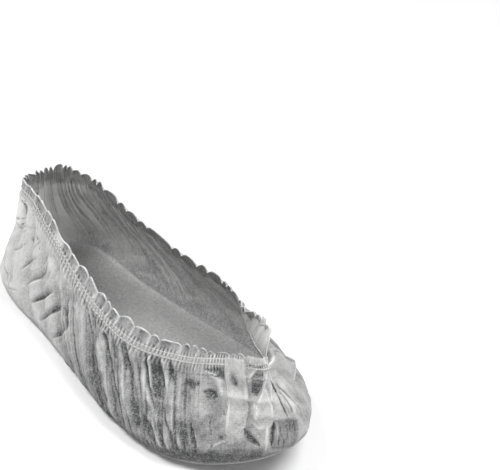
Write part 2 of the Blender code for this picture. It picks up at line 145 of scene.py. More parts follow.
# Single creases and dents: half width and depth in mm (less than 0 is a ridge), its painted shade (less than 0 a
# painted highlight), and its points.
# A point is its share of the loop and its height, where 1 is the foot of the hem and about 1.1 the elastic.
CREASES = (
    # fine crinkles at the heel, as painted shade alone
    (0.9, 0, 1.42, (0.0740, 1.05), (0.0880, 1.02), (0.0963, 0.99), (0.1013, 0.94), (0.1043, 0.90)),
    (0.6, 0, 1.04, (0.0863, 0.835), (0.1000, 0.850), (0.1113, 0.900)),
    (0.5, 0, 0.95, (0.0923, 0.790), (0.1060, 0.800), (0.1183, 0.885)),
    (0.6, 0, 0.85, (0.0997, 0.740), (0.1100, 0.770), (0.1210, 0.865)),
    (0.5, 0, 0.95, (0.1167, 0.745), (0.1220, 0.790), (0.1273, 0.855)),
    (0.6, 0, 0.76, (0.0653, 0.910), (0.0673, 0.765), (0.0747, 0.605)),
    (0.5, 0, 0.85, (0.1347, 0.935), (0.1490, 0.925), (0.1627, 0.875)),
    (0.5, 0, 0.85, (0.1367, 0.835), (0.1507, 0.825)),
    (0.7, 0, 0.95, (0.1277, 0.435), (0.1400, 0.430), (0.1467, 0.290)),
    (0.6, 0, 0.85, (0.1537, 0.660), (0.1617, 0.775)),
    (0.7, 0, 0.85, (0.1817, 0.900), (0.1817, 0.780), (0.1753, 0.630)),
    # side valleys
    (1.4, 1.7, 0.85, (0.2553, 1.00), (0.2693, 0.86), (0.2873, 0.69), (0.2987, 0.51), (0.3040, 0.28), (0.3097, 0.10)),
    (1.4, 1.6, 0.85, (0.2823, 1.01), (0.2923, 0.92), (0.3037, 0.79), (0.3140, 0.66), (0.3223, 0.55), (0.3283, 0.42), (0.3317, 0.26), (0.3347, 0.07)),
    (1.6, 0.8, 0.6, (0.2830, 1.00), (0.2923, 0.92)),
    (0.9, 1.2, 0.7, (0.2907, 1.07), (0.2977, 0.99), (0.3037, 0.92)),
    (0.8, 0.9, 0.6, (0.2980, 1.05), (0.3050, 0.96)),
    (1.3, 2, 1, (0.3077, 1.10), (0.3153, 1.01), (0.3227, 0.90), (0.3280, 0.81)),
    (0.9, 0.7, 0.4, (0.3283, 0.80), (0.3350, 0.66), (0.3400, 0.56)),
    (0.9, 0.7, 0.35, (0.3250, 1.06), (0.3317, 0.95), (0.3390, 0.80), (0.3453, 0.69), (0.3500, 0.62)),
    (1.3, 1.8, 0.95, (0.3347, 1.11), (0.3380, 1.01), (0.3440, 0.91), (0.3503, 0.79), (0.3567, 0.68), (0.3627, 0.58)),
    (1.4, 1.9, 0.95, (0.3460, 1.12), (0.3533, 1.02), (0.3610, 0.90), (0.3677, 0.79)),
    (1.1, 1.3, 0.7, (0.3710, 0.63), (0.3750, 0.53), (0.3797, 0.44), (0.3833, 0.34), (0.3860, 0.20)),
    (1.2, 1, 0.6, (0.3927, 0.38), (0.3963, 0.23)),
    (0.9, 0.9, 0.5, (0.3167, 0.46), (0.3227, 0.28), (0.3233, 0.08)),
    (1.5, 1, 0.55, (0.3053, 0.31), (0.3073, 0.10), (0.3167, 0.08)),
    (1, 1, 0.55, (0.2380, 1.12), (0.2467, 1.07), (0.2553, 1.00)),
    (0.9, 1.2, 0.75, (0.2550, 1.11), (0.2623, 1.03)),
    (0.9, 1, 0.65, (0.2603, 1.07), (0.2683, 1.00), (0.2717, 0.94)),
    (1, 0.8, 0.45, (0.2420, 0.70), (0.2493, 0.62)),
    (1.3, 1, 0.55, (0.2383, 0.16), (0.2490, 0.12)),
    (2.2, 1.4, 0.75, (0.3603, 1.11), (0.3657, 1.02), (0.3703, 0.95)),
    (0.9, 1.2, 0.7, (0.3747, 1.12), (0.3793, 1.06)),
    (0.8, 0.8, 0.5, (0.3697, 1.12), (0.3737, 1.08)),
    (2.2, 1.3, 0.7, (0.3823, 0.45), (0.3853, 0.32), (0.3880, 0.19)),
    (2.2, 1.2, 0.75, (0.3683, 0.49), (0.3723, 0.39), (0.3763, 0.23)),
    (2.3, 1.8, 0.95, (0.3990, 0.53), (0.4023, 0.41), (0.4063, 0.28)),
    (0.8, 0.6, 0.4, (0.3470, 0.56), (0.3513, 0.46), (0.3583, 0.28)),
    # side patches of painted shade
    (3.2, 0.5, 0.35, (0.2727, 0.78), (0.2847, 0.64), (0.2950, 0.43)),
    (3, 0.5, 0.6, (0.2967, 1.01), (0.3073, 0.89)),
    (2.8, 0.7, 0.55, (0.3077, 1.05), (0.3240, 0.83)),
    (3.4, 0.5, 0.65, (0.3407, 0.55), (0.3443, 0.44), (0.3483, 0.32)),
    (3.8, 0.8, 0.9, (0.3537, 0.49), (0.3610, 0.38), (0.3687, 0.24)),
    (3.2, 0.4, 0.6, (0.3663, 1.00), (0.3777, 0.85)),
    (4.2, 0.4, 0.65, (0.3847, 0.91), (0.4023, 0.91)),
    (2.8, 0.5, 0.45, (0.2617, 1.06), (0.2707, 0.96)),
    (3.5, 0.3, 0.3, (0.2350, 0.44), (0.2423, 0.39)),
    (3, 0.4, 0.4, (0.3097, 0.34), (0.3107, 0.10)),
    (3, 0.3, 0.4, (0.3670, 0.74), (0.3673, 0.68)),
    (3.6, 0.4, 0.4, (0.3920, 0.45), (0.3973, 0.30)),
    # side ridges with painted highlights: rolled cloth between the valleys, then thin pleat edges
    (4.2, -0.7, -0.28, (0.2770, 0.91), (0.2900, 0.79), (0.3020, 0.64), (0.3117, 0.48), (0.3177, 0.34)),
    (3.6, -0.5, -0.25, (0.3170, 0.79), (0.3287, 0.59), (0.3370, 0.43)),
    (2.6, -0.8, -0.30, (0.3267, 1.07), (0.3363, 0.93), (0.3457, 0.78), (0.3550, 0.66), (0.3633, 0.55), (0.3723, 0.39)),
    (2.6, -0.6, -0.3, (0.3203, 1.04), (0.3293, 0.90), (0.3383, 0.72)),
    (1.9, -0.7, -0.45, (0.3510, 1.12), (0.3610, 0.97), (0.3693, 0.82), (0.3737, 0.73)),
    (7.5, -0.6, -0.25, (0.3817, 0.79), (0.3883, 0.66), (0.3947, 0.53)),
    (5, -0.6, -0.28, (0.2357, 0.97), (0.2477, 0.86)),
    (2.6, -0.6, -0.4, (0.2773, 0.99), (0.2897, 0.86)),
    (1.4, -0.6, -0.35, (0.3710, 0.51), (0.3763, 0.38), (0.3807, 0.21)),
    (0.8, -0.8, -0.95, (0.3617, 0.49), (0.3677, 0.35), (0.3753, 0.18)),
    (0.8, -0.7, -0.8, (0.3373, 1.10), (0.3467, 0.91), (0.3527, 0.78)),
    (0.9, -0.5, -0.5, (0.3867, 0.46), (0.3900, 0.35), (0.3927, 0.22)),
    (0.8, -0.6, -0.7, (0.4010, 0.51), (0.4053, 0.41), (0.4090, 0.29)),
    (0.8, -0.6, -0.55, (0.3257, 0.49), (0.3303, 0.36), (0.3337, 0.17), (0.3353, 0.06)),
    (0.8, -0.5, -0.35, (0.3083, 0.40), (0.3150, 0.24), (0.3207, 0.08)),
    (0.8, -0.5, -0.6, (0.3613, 0.24), (0.3657, 0.04)),
    (0.8, -0.5, -0.4, (0.3293, 0.80), (0.3360, 0.66), (0.3453, 0.55)),
    (0.9, -0.6, -0.55, (0.2887, 1.03), (0.2980, 0.90)),
    (1, -0.6, -0.55, (0.3000, 1.09), (0.3087, 0.99), (0.3150, 0.90)),
    (0.8, -0.6, -0.6, (0.2257, 0.92), (0.2353, 0.76), (0.2400, 0.66)),
    (0.8, 0.7, 0.4, (0.2237, 0.89), (0.2340, 0.72)),
    # by the toe: dents, and patches of painted shade where the bag lay close
    (3.6, 1, 0.95, (0.4100, 0.84), (0.4260, 0.80)),
    (3, 0.2, 0.4, (0.3907, 0.94), (0.4013, 0.81)),
    (3.6, 0.1, 0.6, (0.4460, 1.00), (0.4500, 0.91)),
    (0.8, 0.4, 0.25, (0.4177, 0.59), (0.4193, 0.49), (0.4207, 0.41)),
    (0.8, 0.4, 0.25, (0.4210, 0.59), (0.4233, 0.50), (0.4260, 0.42)),
    (1, 0.6, 0.9, (0.4330, 0.66), (0.4347, 0.64)),
    (0.9, 0.5, 0.6, (0.4523, 0.65), (0.4533, 0.63)),
    (5, -0.3, -0.18, (0.4083, 0.73), (0.4117, 0.60)),
    (6, -0.6, -0.35, (0.4417, 0.81), (0.4620, 0.79)),
    (5.5, -0.5, -0.3, (0.4477, 0.67), (0.4503, 0.55)),
    (4.5, -0.9, -0.45, (0.4677, 0.75), (0.4667, 0.60)),
    (4, -0.7, -0.35, (0.4143, 1.04), (0.4273, 0.93), (0.4317, 0.81)),
    (3.6, 1, 0.75, (0.4533, 0.49), (0.4577, 0.40), (0.4653, 0.30)),
    (3.5, -0.4, -0.15, (0.4617, 0.47), (0.4647, 0.38)),
    (1, -0.8, -0.9, (0.4163, 0.29), (0.4287, 0.36), (0.4377, 0.39)),
    (1.2, 0.8, 0.8, (0.4220, 0.33), (0.4180, 0.29)),
    (2.4, 0.5, 0.5, (0.4310, 0.43), (0.4277, 0.38)),
    # the toe: the end of the opening, its pleats, the seam and the gathers
    (0.9, -0.9, -0.8, (0.4367, 0.82), (0.4390, 0.70), (0.4363, 0.55), (0.4350, 0.44)),
    (1.6, -0.6, -0.5, (0.4407, 0.85), (0.4410, 0.76)),
    (0.9, -0.8, -0.8, (0.4790, 1.12), (0.4667, 1.00)),
    (0.9, -0.9, -0.75, (0.4960, 1.08), (0.4857, 0.97), (0.4800, 0.88), (0.4750, 0.80), (0.4700, 0.72), (0.4680, 0.66)),
    (1, -0.8, -0.6, (0.4985, 1.09), (0.4965, 0.98), (0.4900, 0.88), (0.4857, 0.71), (0.4830, 0.60)),
    (1.2, -0.7, -0.7, (0.4630, 0.56), (0.4670, 0.51), (0.4723, 0.51)),
    (1.3, -0.9, -0.95, (0.4760, 0.53), (0.4730, 0.40), (0.4700, 0.22)),
    (1.6, 1.6, 1, (0.4950, 0.99), (0.4960, 0.89), (0.4967, 0.84)),
    (1, 1.2, 0.95, (0.4963, 0.87), (0.4967, 0.80), (0.4963, 0.72), (0.4970, 0.63), (0.4973, 0.57)),
    (1.1, 1.2, 1.0, (0.5020, 0.98), (0.5037, 0.90), (0.5080, 0.82), (0.5110, 0.71), (0.5133, 0.62), (0.5150, 0.54), (0.5130, 0.46)),
    (1.0, 0.8, 0.8, (0.5017, 0.84), (0.5037, 0.76), (0.5047, 0.63), (0.5040, 0.56)),
    (1, 0.6, 0.5, (0.4877, 0.79), (0.4857, 0.66)),
    (0.8, 0.5, 0.4, (0.4987, 0.72), (0.5010, 0.62)),
    (4, -0.7, -0.4, (0.5220, 0.93), (0.5383, 0.72), (0.5357, 0.60)),
    (3.2, -0.4, -0.15, (0.4920, 0.84), (0.4920, 0.69), (0.4927, 0.60)),
    (2.8, -0.5, -0.4, (0.5063, 0.69), (0.5063, 0.55)),
    (11.0, -0.3, -0.25, (0.4960, 0.92), (0.5050, 0.66)),
    (12.0, -0.2, -0.35, (0.5080, 0.88), (0.5160, 0.62)),
    (2.2, 1, 1, (0.4827, 0.55), (0.4780, 0.43), (0.4750, 0.27)),
    (0.8, -0.7, -0.7, (0.4857, 0.56), (0.4840, 0.46), (0.4817, 0.34)),
    (0.6, 0.4, 0.45, (0.4883, 0.52), (0.4858, 0.43), (0.4862, 0.33)),
    (0.6, 0.4, 0.40, (0.4930, 0.50), (0.4925, 0.40), (0.4890, 0.27)),
    (0.7, 0.4, 0.40, (0.4983, 0.52), (0.4970, 0.45), (0.4940, 0.39)),
    (0.8, 0.4, 0.35, (0.5030, 0.50), (0.5020, 0.40), (0.4980, 0.28)),
    (1, 0.5, 0.6, (0.4873, 0.31), (0.4860, 0.19)),
    (0.8, 0.5, 0.6, (0.4837, 0.38), (0.4813, 0.24)),
    (0.6, -0.3, -0.25, (0.4930, 0.43), (0.4937, 0.30), (0.4917, 0.17)),
    (0.6, -0.3, -0.25, (0.4987, 0.46), (0.4960, 0.36), (0.4970, 0.26)),
    # the heel, where the bag takes the steps of the sole within
    (1.1, 0.9, 0.5, (0.1313, 0.41), (0.1417, 0.33), (0.1427, 0.18), (0.1570, 0.31)),
    (1.6, 0.6, 0.5, (0.1110, 0.40), (0.1257, 0.33), (0.1357, 0.29)),
    (0.8, 0.5, 0.25, (0.0913, 1.05), (0.1067, 0.91)),
    (0.8, 0.6, 0.3, (0.0903, 0.90), (0.1247, 0.73)),
    (0.8, 0.5, 0.35, (0.1193, 1.01), (0.1373, 1.11)),
    (0.8, 0.5, 0.35, (0.1227, 0.98), (0.1390, 1.09)),
    (0.8, 0.5, 0.35, (0.1177, 0.84), (0.1367, 0.92)),
    (0.8, -0.5, -0.35, (0.1200, 0.80), (0.1353, 0.87)),
    (0.9, 0.8, 0.5, (0.1270, 0.77), (0.1370, 0.72)),
    (2.4, 0.5, 0.35, (0.1470, 0.91), (0.1577, 0.93)),
    (1, 0.7, 0.35, (0.1753, 0.93), (0.1737, 0.76)),
    (1, 0.8, 0.6, (0.1490, 0.77), (0.1587, 0.95)),
    (0.9, 0.6, 0.4, (0.1747, 0.75), (0.1803, 0.69)),
    (2.6, 0.4, 0.3, (0.2117, 0.98), (0.2167, 0.94), (0.2143, 0.86)),
    (2.6, 0.5, 0.55, (0.2243, 0.79), (0.2327, 0.73), (0.2373, 0.63)),
    (6, -0.7, -0.25, (0.1793, 0.93), (0.2110, 0.87)),
    (0.9, 1.4, 1.0, (0.060, 1.08), (0.070, 0.97)),
    (2.6, 0.5, 0.45, (0.050, 1.12), (0.060, 1.06)),
    (1.2, -0.6, -0.5, (0.075, 1.10), (0.092, 0.95)),
    (13.0, -3.0, -0.1, (0.050, 1.00), (0.105, 0.80)),
)

# Pieces that lie folded flat over or under the rest: how far out in mm, their painted shade (less than 0 a painted
# highlight), and their corners.
PANELS = (
    (0.8, -0.05, (0.4957, 1.07), (0.4857, 0.71), (0.4863, 0.59), (0.4673, 0.64), (0.4767, 0.82)),
    (-0.6, 0.50, (0.4823, 0.58), (0.4983, 0.55), (0.5083, 0.46), (0.5030, 0.27), (0.4990, 0.08), (0.4737, 0.22), (0.4783, 0.48)),
    (-1.2, 0.70, (0.4033, 1.06), (0.4323, 1.09), (0.4357, 0.95), (0.4193, 1.00)),
    (-1.0, 0.60, (0.4680, 1.01), (0.4813, 1.12), (0.4933, 1.09), (0.4803, 0.93), (0.4743, 0.82), (0.4650, 0.85)),
    (-0.4, 0.50, (0.3390, 1.10), (0.3473, 1.10), (0.3663, 0.81), (0.3683, 0.67), (0.3580, 0.69)),
    (0.3, 0.10, (0.4617, 1.12), (0.4797, 1.12), (0.4667, 1.00), (0.4627, 0.95)),
    (-0.1, 0.35, (0.4147, 0.29), (0.4697, 0.27), (0.4663, 0.07), (0.4227, 0.12)),
)

# Ledges at the heel, sharp toward the toe and soft toward the heel: depth in mm, its painted shade, soft width in mm,
# points.
LEDGES = (
    (0.9, 0.6, 4, (0.1180, 0.53), (0.1293, 0.61), (0.1363, 0.72)),
    (1, 0.8, 2.5, (0.1490, 0.52), (0.1557, 0.70)),
    (1.3, 0.8, 5, (0.1637, 0.46), (0.1717, 0.59), (0.1803, 0.70)),
    (1.8, 1.1, 6.5, (0.1770, 0.34), (0.1947, 0.58), (0.2033, 0.74)),
    (2, 1.1, 6, (0.1967, 0.30), (0.2103, 0.54), (0.2207, 0.73)),
    (1.2, 0.7, 6, (0.2180, 0.29), (0.2317, 0.51), (0.2370, 0.65)),
)


def lobe_phase(share):
    """Which lobe of the gathered hem a point is in, and how far along it. Their widths vary."""
    turn = 2 * math.pi * share
    return (
        LOBES * share
        + 0.28 * np.sin(7 * turn + 1.0)
        + 0.22 * np.sin(17 * turn + 2.1)
        + 0.16 * np.sin(29 * turn + 0.4)
    )


def lobe_size(share):
    """How far each lobe swells. It changes from lobe to lobe, in the pinch between them."""
    number = np.floor(lobe_phase(share))
    return 0.62 + 0.38 * np.sin(number * 12.9898 + 4.1) ** 2


def lobes(share):
    """The hem's wave, from -1 in a pinch to 1 on the crown of the fullest lobe."""
    inside = lobe_phase(share) % 1.0
    return np.abs(np.sin(math.pi * inside)) ** 0.62 * 2 * lobe_size(share) - 1


def waves(x, y, count, low, high, seed):
    """A smooth random field of plane waves between two wavelengths, about -1 to 1."""
    random = np.random.default_rng(seed)
    total = np.zeros(np.broadcast(x, y).shape)
    for _ in range(count):
        length, angle, phase = random.uniform(low, high), random.uniform(0, math.pi), random.uniform(0, 6.3)
        total += np.sin(2 * math.pi * (x * math.cos(angle) + y * math.sin(angle)) / length + phase)
    return total / math.sqrt(count) / 1.2


def fold_fade(height, low, high):
    return np.clip((height - low) / 0.25, 0, 1) * np.clip((high - height) / 0.30, 0, 1) * (height > low)


def crease(share, height, width, points, sharp=None):
    """How near each place lies to a line of points, 1 on it and 0 at its half width, which narrows to its ends."""
    u, v = share * LOOP, height * REACH
    line = np.array(points) * (LOOP, REACH)
    low, high = line.min(0) - width / 1000, line.max(0) + width / 1000
    close = (u > low[0]) & (u < high[0]) & (v > low[1]) & (v < high[1])
    result = np.zeros(u.shape)
    u, v = u[close], v[close]
    away, along, left = np.full(u.shape, 1.0), np.zeros(u.shape), np.zeros(u.shape, bool)
    for number, ((u0, v0), (u1, v1)) in enumerate(zip(line, line[1:])):
        t = np.clip(((u - u0) * (u1 - u0) + (v - v0) * (v1 - v0)) / ((u1 - u0) ** 2 + (v1 - v0) ** 2), 0, 1)
        distance = np.hypot(u - u0 - t * (u1 - u0), v - v0 - t * (v1 - v0))
        along = np.where(distance < away, (number + t) / (len(line) - 1), along)
        left = np.where(distance < away, (u1 - u0) * (v - v0) > (v1 - v0) * (u - u0), left)
        away = np.minimum(away, distance)
    blunt = 1.0 if points[0][1] > 0.99 else 0.0
    taper = np.minimum(1, 0.25 + 3 * (1 - along)) * np.minimum(1, 0.25 + 3 * along + blunt)
    if sharp:
        result[close] = np.maximum(1 - away / np.where(left, width / 1000 * (0.3 + 0.7 * along), sharp / 1000), 0) * taper
    else:
        near = np.maximum(1 - away / (width / 1000 * taper), 0)
        result[close] = near**1.3 if width < 2.4 else near * near * (3 - 2 * near)
    return result


def panel(share, height, corners):
    """How far inside a flat-folded piece each place lies, in metres, less than 0 outside it."""
    spots = [(u * LOOP, v * REACH) for u, v in corners]
    turn = sum(x0 * y1 - x1 * y0 for (x0, y0), (x1, y1) in zip(spots, spots[1:] + spots[:1]))
    within = np.full(share.shape, 1.0)
    for (x0, y0), (x1, y1) in zip(spots, spots[1:] + spots[:1]):
        side = ((x1 - x0) * (height * REACH - y0) - (y1 - y0) * (share * LOOP - x0)) / math.hypot(x1 - x0, y1 - y0)
        within = np.minimum(within, side * math.copysign(1, turn))
    return within


def pleat_size(number, height):
    """How high each pleat stands at a height: it has its own size and its own lower end."""
    number = number % PLEATS
    size, low = [(np.sin(number * a + c) * b) % 1.0 for a, b, c in ((12.9898, 43.75, 1.0), (78.233, 27.31, 2.0))]
    return (0.10 + 0.90 * size**1.3) * fold_fade(height, 0.70 * low - 0.20, 1.45)


def pleats(share, height):
    """Flat-topped pleats with sharp valleys between, which run from the hem and fade out at different heights, and
    their painted shade and highlight.
    """
    known = np.array([(row[0], row[1]) for row in BROAD_FOLDS])
    slant = np.interp(share % 1.0, known[:, 0], known[:, 1])
    at = share - slant * (1 - height)
    wander = 0.0012 * np.sin(2 * math.pi * (9 * share + 0.30 * height)) + 0.0010 * np.sin(2 * math.pi * (23 * share - 0.4 * height))
    phase = PLEATS * (at + wander) + 0.45 * np.sin(2 * math.pi * 31 * at) + 0.30 * np.sin(2 * math.pi * 67 * at + 1.0)
    number = np.floor(phase)
    inside = phase - number
    crown = np.sin(math.pi * inside)
    mine = pleat_size(number, height)
    other = pleat_size(number + np.where(inside < 0.5, -1, 1), height)
    calm = np.interp(share % 1.0, CALM_AT, CALM)
    # painted shade in the valleys, a painted highlight on the crowns, and one flank of each pleat painted lighter
    valley = (1 - crown) ** 2.2 * np.minimum(1, 1.1 * (mine + other))
    tilt = 0.35 * (inside - 0.5) * mine
    return PLEAT_DEPTH * calm * mine * (crown**0.6 - 0.6), calm * (1.15 * valley - 0.30 * mine * crown**2 + tilt)


def streaks(share, height):
    """Fine gathers that run from the hem to the sole along the near side, as lines of painted shade and painted
    highlight from 0 to 1.
    """
    known = np.array([(row[0], row[1]) for row in BROAD_FOLDS])
    at = share - np.interp(share % 1.0, known[:, 0], known[:, 1]) * (1 - height)
    here = np.interp(share % 1.0, (0.215, 0.245, 0.395, 0.415), (0.0, 1.0, 1.0, 0.0)) * np.clip(1.15 - height, 0, 0.25) * 4
    turn = 2 * math.pi * at
    dark = (0.5 + 0.5 * np.sin(131 * turn + 2.2 * np.sin(17 * turn))) ** 5 * (0.5 + 0.5 * np.sin(6.0 * height + 61 * turn))
    pale = (0.5 + 0.5 * np.sin(173 * turn + 2.0 * np.sin(23 * turn) + 1.0)) ** 6 * (0.5 + 0.5 * np.sin(5.0 * height - 47 * turn + 2))
    return dark * here, pale * here


def relief(share, height, place):
    """How far the cloth stands out of its smooth form, and the shade painted into it, from -1 (painted highlight) to 1
    (painted shade).
    """
    push = np.zeros(share.shape)
    shade = np.zeros(share.shape)
    for at, slant, half_width, deep, low, high in BROAD_FOLDS:
        away = np.abs((share - at - slant * (1 - height) + 0.5) % 1.0 - 0.5) / half_width
        push -= deep * BROAD_DEPTH * np.cos(np.minimum(away, 1) * math.pi / 2) ** 2 * fold_fade(height, low, high)
    rise, dark = pleats(share, height)
    push += rise
    shade += dark
    for width, deep, dark, *line in CREASES:
        near = crease(share, height, width, line)
        push -= near * deep / 1000
        # each crease's painted shade, or painted highlight where its value is below 0
        shade += near * dark * (1.35 if dark > 0.65 else 1.0)
        if width < 2.4 and deep > 0:
            beside = crease(share, height, width + 2.2, line)
            push += 0.28 * deep / 1000 * (beside - near)
            # painted highlight on the cloth beside a narrow valley
            shade -= 0.24 * dark * np.maximum(beside - near, 0)
    for deep, dark, width, *line in LEDGES:
        near = crease(share, height, width, line, 0.8)
        push -= near * deep / 1000
        # painted shade under each ledge, and a painted highlight just past it
        shade += near * dark
        shade -= 0.5 * crease(share - 0.0018, height, 0.8, line)
    for lift, dark, *corners in PANELS:
        within = panel(share, height, corners)
        push += lift / 1000 * np.clip(within / 0.0006, 0, 1)
        # painted shade or highlight over each flat piece, and a painted highlight along the edge of a raised one
        shade += dark * np.clip(within / 0.0008, 0, 1)
        if lift > 0:
            shade -= 0.55 * np.clip(1 - np.abs(within - 0.0003) / 0.0006, 0, 1)
    dark, pale = streaks(share, height)
    push += 0.0003 * (pale - dark)
    # the streaks as lines of painted shade and painted highlight
    shade += 0.75 * dark - 0.50 * pale
    x, y, z = place[..., 0], place[..., 1], place[..., 2]
    crumple = 1 - 2 * np.abs(waves(y + 0.6 * x, z + 0.35 * x, 9, 0.018, 0.040, 3))
    fine = 1 - 2 * np.abs(waves(y + 0.5 * x, z - 0.4 * x, 9, 0.007, 0.016, 5))
    push += 0.00042 * crumple + 0.00020 * fine
    # painted light round the loop: heel and toe painted paler, the middle of each side painted darker, and painted
    # shade along the sole edge
    painted_side_light = np.interp(share % 1.0, (0, 0.12, 0.22, 0.28, 0.40, 0.46, 0.50, 0.60, 0.70, 0.78, 0.88, 1), (-1.0, -0.50, -0.14, 0.48, 0.46, 0.08, -0.22, 0.05, 0.32, 0.15, -0.10, -1.0))
    shade += painted_side_light * np.clip(np.where(painted_side_light < 0, 2.0, 1.5) - height, 0, 1) + 1.3 * np.clip(1 - height / 0.26, 0, 1) * np.clip(painted_side_light + 0.8, 0.15, 1.2)
    # painted shade in hollows and on the crumples, painted highlight on raised cloth
    shade += 0.35 * np.clip(-push / 0.002, -1, 1)
    return push, np.clip(shade - 0.07 * crumple - 0.04 * fine, -1, 1)


def wall(share, height):
    """Points of the bag's side from the sole edge (0) to the foot of the hem (1), and their shade."""
    base, rim, outward, up, out, belly, _ = loop_frame(share)
    h, rest = height[..., None], 1 - height[..., None]
    top = rim - up * (HEM_BELOW + 0.0008)
    reach = np.linalg.norm(top - base, axis=-1, keepdims=True)
    low_pull = base + outward * belly + np.array([0, 0, 1.0]) * reach * 0.28
    high_pull = top - up * reach * 0.36
    point = base * rest**3 + low_pull * (3 * rest**2 * h) + high_pull * (3 * rest * h**2) + top * h**3
    push, shade = relief(share, height, point)
    push = push * np.clip(height / 0.10, 0, 1) + lobes(share) * LOBE_DEPTH * 0.25 * np.clip(height * 2 - 1, 0, 1)
    return point + unit(outward * rest + out * h) * push[..., None], shade


def flare(share, step):
    """How far the frill falls open to the outside, on the far side by the toe, from 0 to 1."""
    reach = np.interp(share % 1.0, (0.503, 0.535, 0.570, 0.610, 0.690), (0.0, 0.9, 1.0, 0.55, 0.0))
    return reach * np.clip((step - 0.0020) / 0.0060, 0, 1)


def hem(share, step, off):
    """Points of the hem by their height along it from the middle of the elastic, and their shade."""
    _, rim, _, up, out, _, _ = loop_frame(share)
    place = rim + up * step[..., None]
    below = np.clip((-step - 0.0016) / 0.0035, 0, 1)
    above = np.clip((step - 0.0020) / 0.0060, 0, 1)
    push, shade = relief(share, 1 + (step + HEM_BELOW) / REACH, place)
    size = 0.25 + 0.85 * above**0.8
    turn = 2 * math.pi * share
    rib = np.sin(RIBS * turn + 0.9 * np.sin(11 * turn) + 180 * step * np.sin(37 * turn + 1.0))
    rib *= 0.65 + 0.35 * np.sin(41 * turn + 2.0 * np.sin(13 * turn))
    plain = np.interp(share % 1.0, (0.42, 0.435, 0.56, 0.60), (0.0, 1.0, 1.0, 0.0))
    margin = np.clip((-step - 0.0017) / 0.001, 0, 1) * np.clip((0.0092 + step) / 0.004, 0, 1) * (1 - plain)
    near_stitch = 0.80 * margin + np.exp(-(((step - 0.0030) / 0.0012) ** 2)) + 0.7 * np.exp(-((step / 0.0013) ** 4))
    flared = flare(share, step)
    rumple = waves(share * LOOP, 1.4 * step, 14, 0.007, 0.020, 12) * flared
    push = push * below + lobes(share) * LOBE_DEPTH * size * (1 - 0.25 * flared) + 0.0165 * flared + 0.0011 * rumple + 0.00036 * rib * near_stitch
    # painted shade and highlight between the gathers by the stitches and on the rumples; the open frill painted paler
    dark = shade * below - 0.80 * rib * near_stitch - 0.25 * flared - 0.50 * rumple
    return place + out * (off + push)[..., None], np.clip(dark, -1, 1)


def frill_top(share):
    """The frill's height, which dips in the pinches between the lobes."""
    inside = np.abs(np.sin(math.pi * (lobe_phase(share) % 1.0)))
    taller = np.interp(
        share % 1.0,
        (0.10, 0.20, 0.30, 0.36, 0.40, 0.455, 0.505, 0.55, 0.61, 0.70),
        (1.0, 1.15, 1.35, 1.25, 0.90, 1.00, 0.75, 1.90, 1.70, 1.0),
    )
    uneven = 1 + 0.09 * np.sin(2 * math.pi * (13 * share + 0.2)) + 0.06 * np.sin(2 * math.pi * 31 * share)
    joined = np.interp(share % 1.0, (0.505, 0.53, 0.62, 0.68), (0.0, 0.6, 0.6, 0.0))
    return loop_frame(share)[6][..., 0] * taller * uneven * (joined + (1 - joined) * (0.64 + 0.36 * inside**0.7 * lobe_size(share)))


def make_sheet(name, points, quads, triangles, attributes, uv):
    """A mesh object from arrays, with a UV map in metres and a few point attributes."""
    mesh = bpy.data.meshes.new(name)
    faces = [tuple(face) for face in quads] + [tuple(face) for face in triangles]
    mesh.from_pydata(points.tolist(), [], faces)
    mesh.polygons.foreach_set("use_smooth", np.ones(len(faces), bool))
    for label, values in attributes.items():
        made = mesh.attributes.new(label, "FLOAT", "POINT")
        made.data.foreach_set("value", np.asarray(values, np.float32))
    layer = mesh.uv_layers.new(name="cloth")
    corners = np.empty(len(mesh.loops), np.int32)
    mesh.loops.foreach_get("vertex_index", corners)
    layer.data.foreach_set("uv", uv[corners].astype(np.float32).ravel())
    mesh.update()
    made = bpy.data.objects.new(name, mesh)
    bpy.context.scene.collection.objects.link(made)
    return made


def band_quads(columns, rows):
    """Quads of a closed band of stacked rows, facing out."""
    row, column = np.meshgrid(np.arange(rows - 1), np.arange(columns), indexing="ij")
    after = (column + 1) % columns
    corners = (row * columns + column, row * columns + after, (row + 1) * columns + after, (row + 1) * columns + column)
    return np.stack([c.ravel() for c in corners], 1)


COLUMNS, WALL_ROWS, ACROSS = 1100, 60, 20
shares = np.arange(COLUMNS) / COLUMNS
side, side_shade = wall(*np.meshgrid(shares, np.linspace(0, 1, WALL_ROWS)))
steps = [np.full(COLUMNS, step) for step in (-0.0072, -0.0050, -0.0030, -0.0010, 0.0010, 0.0030)]
steps += [0.0030 + (frill_top(shares) - 0.0030) * part for part in (0.20, 0.36, 0.50, 0.63, 0.75, 0.86, 0.95)]
inner, inner_shade = hem(np.tile(shares, (len(steps), 1)), np.array(steps), np.zeros((len(steps), COLUMNS)))
# the inside of the open frill gets a painted highlight
inner_shade = np.clip(inner_shade - 0.70 * flare(shares, np.array(steps)), -1, 1)
side, side_shade = np.concatenate([side, inner]), np.concatenate([side_shade, inner_shade])

half = COLUMNS // 2
near_edge, far_edge = side[0, 1:half], side[0, :half:-1]
sweep = np.cos(np.linspace(0, math.pi, ACROSS + 2)[1:-1])
middle = (near_edge + far_edge) / 2
sole = middle[:, None] + (near_edge - middle)[:, None] * sweep[None, :, None]
past = np.maximum(np.abs(sole[..., 1]) - FLAT_SOLE / 2, 0) / (HALF_LENGTH - FLAT_SOLE / 2)
edge = middle[:, None, 2] - SOLE_EDGE
bottom = np.where(past > 0, np.minimum(edge, edge * past), 0.0)
round_off = np.clip((np.abs(sweep) - 0.86) / 0.14, 0, 1)[None, :] ** 2
wrinkle = 0.00035 * np.maximum(waves(sole[..., 0], sole[..., 1], 8, 0.02, 0.05, 9), 0)
sole[..., 2] = bottom + SOLE_EDGE * round_off + wrinkle * (1 - round_off) + 0.0002

